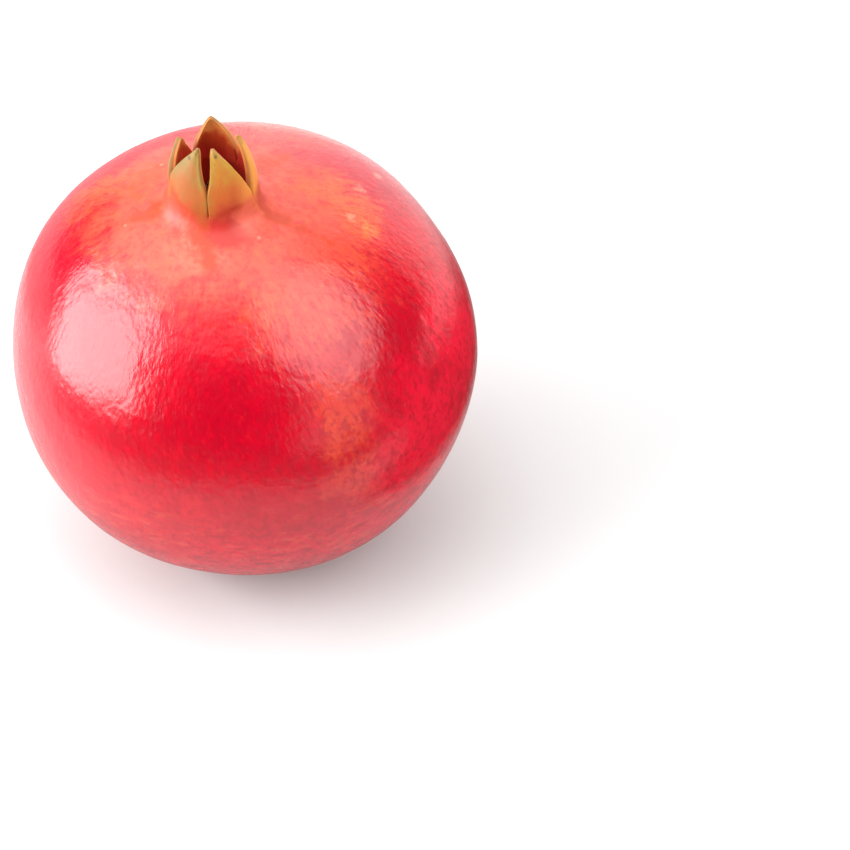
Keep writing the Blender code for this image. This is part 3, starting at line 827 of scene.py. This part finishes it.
def relief_tree():
    """Geometry nodes that give the skin its low, leathery unevenness and its finish.

    Dents and puckers only go down, so that the skin stays inside the solids' box.
    """
    dents_below, puckers_below = 0.78, 0.6  # of noise from 0 to 1
    tree, given, out = new_group(
        "leathery relief",
        [
            ("Geometry", "NodeSocketGeometry", None),
            ("Dent depth", "NodeSocketFloat", 0.35 * MM),
            ("Dent size", "NodeSocketFloat", 17 * MM),
            ("Pucker depth", "NodeSocketFloat", 0.08 * MM),
            ("Pucker size", "NodeSocketFloat", 4.5 * MM),
            ("Seed", "NodeSocketFloat", 2.0),
            ("Finish", "NodeSocketMaterial", None),
        ],
        ("Geometry", "NodeSocketGeometry"),
        kind="GeometryNodeTree",
    )
    place = tree.node("GeometryNodeInputPosition").outputs[0]
    normal = tree.node("GeometryNodeInputNormal").outputs[0]
    share = tree.node("GeometryNodeInputNamedAttribute", data_type="FLOAT")
    share.inputs["Name"].default_value = "relief"
    dents = tree.noise(place, given["Dent size"], seed=given["Seed"])
    puckers = tree.noise(place, given["Pucker size"], detail=3.0, seed=given["Seed"])
    down = tree.plus(
        tree.times(tree.minus(dents, dents_below), given["Dent depth"]),
        tree.times(tree.minus(puckers, puckers_below), given["Pucker depth"]),
    )
    down = tree.times(tree.math("MINIMUM", down, 0.0), share.outputs[0])
    moved = tree.node("GeometryNodeSetPosition")
    tree.feed(moved.inputs["Geometry"], given["Geometry"])
    tree.feed(moved.inputs["Offset"], tree.vector("SCALE", normal, down))
    tree.end_in(out[0], moved.outputs[0], given["Finish"])
    return tree.tree


def stamen_tree():
    """Geometry nodes that stand dried stamens on the disc, each bent and turned by a seeded rule."""
    tree, given, out = new_group(
        "stamen tuft",
        [
            ("Geometry", "NodeSocketGeometry", None),
            ("Count", "NodeSocketInt", 90),
            ("Tuft radius", "NodeSocketFloat", 5.6 * MM),
            ("Length", "NodeSocketFloat", 5.0 * MM),
            ("Filament radius", "NodeSocketFloat", 0.17 * MM),
            ("Anther radius", "NodeSocketFloat", 0.36 * MM),
            ("Seed", "NodeSocketInt", 5),
            ("Finish", "NodeSocketMaterial", None),
        ],
        ("Geometry", "NodeSocketGeometry"),
        kind="GeometryNodeTree",
    )
    # Roots on a sunflower spiral
    index = tree.node("GeometryNodeInputIndex").outputs[0]
    share = tree.math("DIVIDE", tree.plus(index, 0.5), given["Count"])
    reach = tree.times(tree.math("SQRT", share), given["Tuft radius"])
    angle = tree.times(index, math.pi * (3 - math.sqrt(5)))
    x, y = (tree.times(reach, tree.math(wave, angle)) for wave in ("COSINE", "SINE"))
    roots = tree.node("GeometryNodePoints")
    tree.feed(roots.inputs["Count"], given["Count"])
    tree.feed(roots.inputs["Position"], tree.joined(x, y))

    # One stamen: a bent filament with an anther on its end
    bend = tree.node("GeometryNodeCurveQuadraticBezier")
    bend.inputs["Resolution"].default_value = 7
    length = given["Length"]
    end = tree.joined(tree.times(length, -0.28), None, tree.times(length, 0.95))
    tree.feed(bend.inputs["Start"], (0, 0, -0.3 * MM))
    tree.feed(bend.inputs["Middle"], tree.joined(tree.times(length, 0.02), None, tree.times(length, 0.6)))
    tree.feed(bend.inputs["End"], end)
    section = tree.node("GeometryNodeCurvePrimitiveCircle")
    section.inputs["Resolution"].default_value = 5
    tree.feed(section.inputs["Radius"], given["Filament radius"])
    filament = tree.node("GeometryNodeCurveToMesh")
    tree.feed(filament.inputs["Curve"], bend.outputs[0])
    tree.feed(filament.inputs["Profile Curve"], section.outputs[0])
    filament.inputs["Fill Caps"].default_value = True
    anther = tree.node("GeometryNodeMeshIcoSphere")
    tree.feed(anther.inputs["Radius"], given["Anther radius"])
    anther.inputs["Subdivisions"].default_value = 2
    seat = tree.node("GeometryNodeTransform")
    tree.feed(seat.inputs["Geometry"], anther.outputs["Mesh"])
    tree.feed(seat.inputs["Translation"], end)
    seat.inputs["Scale"].default_value = (0.8, 1.0, 1.5)
    whole = tree.node("GeometryNodeJoinGeometry")
    tree.feed(whole.inputs[0], filament.outputs[0])
    tree.feed(whole.inputs[0], seat.outputs[0])

    # Each one turned to a side, tipped a little and grown to its own length
    turn = random_value(tree, given["Seed"], (-0.22, -0.22, 0.0), (0.22, 0.22, math.tau), 0)
    grow = random_value(tree, given["Seed"], (0.85, 0.85, 0.6), (1.1, 1.1, 1.0), 1)
    planted = tree.node("GeometryNodeInstanceOnPoints")
    tree.feed(planted.inputs["Points"], roots.outputs[0])
    tree.feed(planted.inputs["Instance"], whole.outputs[0])
    tree.feed(planted.inputs["Rotation"], turn)
    tree.feed(planted.inputs["Scale"], grow)
    both = tree.node("GeometryNodeJoinGeometry")
    tree.feed(both.inputs[0], given["Geometry"])
    tree.feed(both.inputs[0], planted.outputs[0])
    tree.end_in(out[0], both.outputs[0], given["Finish"])
    return tree.tree


def random_value(tree, seed, low, high, identity):
    made = tree.node("FunctionNodeRandomValue", data_type="FLOAT_VECTOR")
    made.inputs[0].default_value = low
    made.inputs[1].default_value = high
    tree.feed(made.inputs["Seed"], tree.plus(seed, float(identity)))
    return made.outputs[0]


def put_through(piece, node_tree, values):
    """Adds geometry nodes to a piece, with their inputs set by name."""
    modifier = piece.modifiers.new(node_tree.name, "NODES")
    modifier.node_group = node_tree
    for item in node_tree.interface.items_tree:
        if item.item_type == "SOCKET" and item.in_out == "INPUT" and item.name in values:
            modifier[item.identifier] = values[item.name]


def finished(piece, name):
    """Turns a piece with live modifiers into a plain mesh."""
    graph = bpy.context.evaluated_depsgraph_get()
    mesh = bpy.data.meshes.new_from_object(piece.evaluated_get(graph))
    piece.modifiers.clear()
    piece.data = mesh
    mesh.name = name
    mesh.shade_smooth()
    return piece


def new_piece(name, mesh):
    piece = bpy.data.objects.new(name, mesh)
    bpy.context.scene.collection.objects.link(piece)
    return piece


def make_rind(material):
    piece = new_piece("rind_and_crown", rind_mesh())
    smooth = piece.modifiers.new("smooth", "SUBSURF")
    smooth.levels = smooth.render_levels = 1
    put_through(piece, relief_tree(), {"Seed": 2.0, "Finish": material})
    finished(piece, "rind_and_crown")
    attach(piece, "root")
    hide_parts("fruit")


def turned(name, profile, steps):
    """A solid of revolution. The profile runs from its top down its outer side to its bottom."""
    bm = bmesh.new()
    rings = []
    for radius, height in profile:
        if radius == 0:
            rings.append([bm.verts.new((0, 0, height))])
        else:
            angles = [math.tau * i / steps for i in range(steps)]
            circle = [(radius * math.cos(a), radius * math.sin(a), height) for a in angles]
            rings.append([bm.verts.new(point) for point in circle])
    for upper, lower in zip(rings, rings[1:]):
        for i in range(steps):
            corners = ((upper, i), (lower, i), (lower, i + 1), (upper, i + 1))
            bm.faces.new(tuple(dict.fromkeys(ring[k % len(ring)] for ring, k in corners)))
    bmesh.ops.recalc_face_normals(bm, faces=bm.faces)
    mesh = bpy.data.meshes.new(name)
    bm.to_mesh(mesh)
    bm.free()
    mesh.shade_smooth()
    return mesh


def make_stamens(material):
    """The tuft in the cup: a low fleshy disc, a short style, and dried stamens all over the disc."""
    floor = CUP_FLOOR_HEIGHT + 0.3 * MM
    profile = [
        (0.0, floor + 4.4 * MM),
        (0.5 * MM, floor + 4.25 * MM),
        (0.62 * MM, floor + 3.8 * MM),
        (0.5 * MM, floor + 3.2 * MM),
        (0.6 * MM, floor + 1.9 * MM),
        (1.2 * MM, floor + 1.35 * MM),
        (2.4 * MM, floor + 1.2 * MM),
        (4.6 * MM, floor + 1.05 * MM),
        (6.0 * MM, floor + 0.9 * MM),
        (6.5 * MM, floor + 0.55 * MM),
        (6.4 * MM, floor + 0.05 * MM),
        (5.4 * MM, floor),
        (0.0, floor),
    ]
    piece = new_piece("dried_stamens_tuft", turned("dried_stamens_tuft", profile, 48))
    disc_top = floor + 1.0 * MM
    for vertex in piece.data.vertices:
        vertex.co.z -= disc_top
    put_through(piece, stamen_tree(), {"Seed": 5, "Finish": material})
    finished(piece, "dried_stamens_tuft")
    for vertex in piece.data.vertices:
        vertex.co.x += CROWN_X
        vertex.co.y += CROWN_Y
        vertex.co.z += disc_top
    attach(piece, "root")
    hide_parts("dried_stamens")


def make_stub(material):
    """The cut end of the stem: a rough bark rim round a cut face that is a little dished."""
    root = PIT_DEPTH - STUB_CLEARANCE
    profile = [
        (0.0, root),
        (STUB_RADIUS - 0.6 * MM, root),
        (STUB_RADIUS - 0.1 * MM, root - 0.25 * MM),
        (STUB_RADIUS, root - 0.8 * MM),
        (STUB_RADIUS - 0.05 * MM, 3.2 * MM),
        (STUB_RADIUS - 0.15 * MM, 2.4 * MM),
        (STUB_RADIUS - 0.35 * MM, 1.7 * MM),
        (STUB_RADIUS - 0.42 * MM, STUB_CUT_HEIGHT + 0.25 * MM),
        (STUB_RADIUS - 0.6 * MM, STUB_CUT_HEIGHT + 0.02 * MM),
        (STUB_RADIUS - 0.85 * MM, STUB_CUT_HEIGHT + 0.08 * MM),
        (1.2 * MM, STUB_CUT_HEIGHT + 0.2 * MM),
        (0.6 * MM, STUB_CUT_HEIGHT + 0.28 * MM),
        (0.3 * MM, STUB_CUT_HEIGHT + 0.5 * MM),
        (0.0, STUB_CUT_HEIGHT + 0.55 * MM),
    ]
    mesh = turned("stem_stub_cut", profile, 40)
    for vertex in mesh.vertices:
        angle = math.atan2(vertex.co.y, vertex.co.x)
        rough = 1 - 0.03 * (1 + math.sin(5 * angle + 1.0)) - 0.015 * (1 + math.sin(13 * angle))
        vertex.co.x = vertex.co.x * rough + BOX_SHIFT[0]
        vertex.co.y = vertex.co.y * rough + BOX_SHIFT[1]
    piece = new_piece("stem_stub_cut", mesh)
    smooth = piece.modifiers.new("smooth", "SUBSURF")
    smooth.levels = smooth.render_levels = 1
    finished(piece, "stem_stub_cut")
    piece.data.materials.append(material)
    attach(piece, "root")
    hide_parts("stem_stub")


# ---- Studio ----


def paper_material():
    """White paper, brighter far behind. Where it mirrors in the skin it is painted black, as if dark
    sheets stood there:
    a painted dark reflection in front, on the right, behind on the left, and faintly under the fruit as
    painted shade."""
    material, tree, shader = new_material("white studio paper", (0.9, 0.9, 0.9, 1))
    place = tree.place()
    x, y, _ = tree.split(place)
    away = tree.vector("DISTANCE", place, (0.02, 0.05, 0))
    front = tree.times(tree.band(away, 0.17, 0.34), tree.band(y, 0.10, -0.05))
    left_behind = tree.times(tree.band(y, 0.07, 0.12), tree.band(x, -0.05, 0.0, 0.55, 0.0))
    beside = tree.times(tree.band(y, 0.19, 0.09), tree.band(y, -0.10, -0.05))
    right = tree.times(tree.band(x, 0.048, 0.085), beside)
    under = tree.band(tree.vector("LENGTH", place), 0.04, 0.09, 0.35, 0.0)
    # Painted dark reflection: zones of the paper that turn black only where the skin's gloss mirrors them
    dark_reflection_zones = tree.math("MAXIMUM", front, right)
    dark_reflection_zones = tree.math("MAXIMUM", dark_reflection_zones, tree.math("MAXIMUM", left_behind, under))
    mirrored = tree.node("ShaderNodeLightPath").outputs["Is Glossy Ray"]
    painted_dark_reflection = tree.times(dark_reflection_zones, tree.times(mirrored, 0.94))
    tooth = tree.noise(place, 30 * MM, detail=2.0, seed=1.0)
    paper = tree.mix(tooth, (0.505, 0.505, 0.505, 1), (0.515, 0.515, 0.515, 1))
    paper = tree.mix(tree.band(y, 0.12, 0.40), paper, (0.75, 0.75, 0.75, 1))
    tree.feed(shader.inputs["Base Color"], tree.mix(painted_dark_reflection, paper, (0.0, 0.0, 0.0, 1)))
    shader.inputs["Roughness"].default_value = 0.9
    shader.inputs["Specular IOR Level"].default_value = 0.1
    return material


def make_floor():
    mesh = bpy.data.meshes.new("studio_table")
    reach = 2.5
    corners = [(-reach, -reach, 0), (reach, -reach, 0), (reach, reach, 0), (-reach, reach, 0)]
    mesh.from_pydata(corners, [], [(0, 1, 2, 3)])
    mesh.materials.append(paper_material())
    floor = new_piece("studio_table", mesh)


def softbox(name, middle, target, width, height, radiance, roll):
    """A flat rectangular light of this radiance, turned to face the target and rolled about that line."""
    light = bpy.data.lights.new(name, "AREA")
    light.shape = "RECTANGLE"
    light.size, light.size_y = width, height
    light.energy = radiance * math.pi * width * height
    lamp = bpy.data.objects.new(name, light)
    lamp.location = middle
    facing = (Vector(target) - Vector(middle)).to_track_quat("-Z", "Y")
    lamp.rotation_euler = (facing @ Quaternion((0, 0, 1), roll)).to_euler()
    bpy.context.scene.collection.objects.link(lamp)


def make_lights():
    softbox(
        "left_softbox",
        middle=(-0.550, -0.134, 0.266),
        target=(0, 0, 0.05),
        width=0.68,
        height=0.43,
        radiance=10.4,
        roll=math.radians(26),
    )
    world = bpy.data.worlds.new("studio")
    bpy.context.scene.world = world
    world.use_nodes = True
    tree = Wiring(world.node_tree)
    background = world.node_tree.nodes["Background"]
    direction = tree.node("ShaderNodeTexCoord").outputs["Generated"]
    radiance = 0.02  # the dark of the room
    for middle, spread, edge, glow in (
        ((0.20, 0.98, 0.05), 30, 56, 1.9),  # the sweep behind
        ((-0.24, 0.20, 0.95), 20, 56, 3.0),  # the bank overhead
        ((0.62, -0.25, 0.74), 18, 34, 4.6),  # the large diffuser on the right
        ((0.70, -0.70, 0.05), 8, 30, 1.4),  # the reflector low on the right
    ):
        facing = tree.vector("DOT_PRODUCT", direction, Vector(middle).normalized())
        lobe = tree.band(facing, math.cos(math.radians(edge)), math.cos(math.radians(spread)), 0.0, glow)
        radiance = tree.math("MAXIMUM", radiance, lobe)
    seen = tree.node("ShaderNodeLightPath").outputs["Is Camera Ray"]
    radiance = tree.math("MAXIMUM", radiance, tree.times(seen, 0.85))
    shade = tree.node("ShaderNodeCombineColor")
    for socket in shade.inputs:
        tree.feed(socket, radiance)
    tree.feed(background.inputs["Color"], shade.outputs[0])
    background.inputs["Strength"].default_value = 1.0


def make_camera():
    camera = bpy.data.cameras.new("camera")
    camera.lens = 141.8
    camera.sensor_width = 36.0
    camera.clip_start, camera.clip_end = 0.05, 20.0
    view = bpy.data.objects.new("camera", camera)
    view.location = (0.03998, -0.53301, 0.57590)
    view.rotation_euler = (math.radians(44), 0, 0)
    bpy.context.scene.collection.objects.link(view)
    bpy.context.scene.camera = view
    bpy.context.scene.view_settings.view_transform = "Standard"


def main():
    streaks, patch, grain = meridian_streaks(), ragged_patch(), leathery_grain()
    make_camera()
    make_lights()
    make_floor()
    make_rind(rind_material(streaks, patch, grain))
    make_stamens(stamen_material(grain))
    make_stub(wood_material(grain))


main()
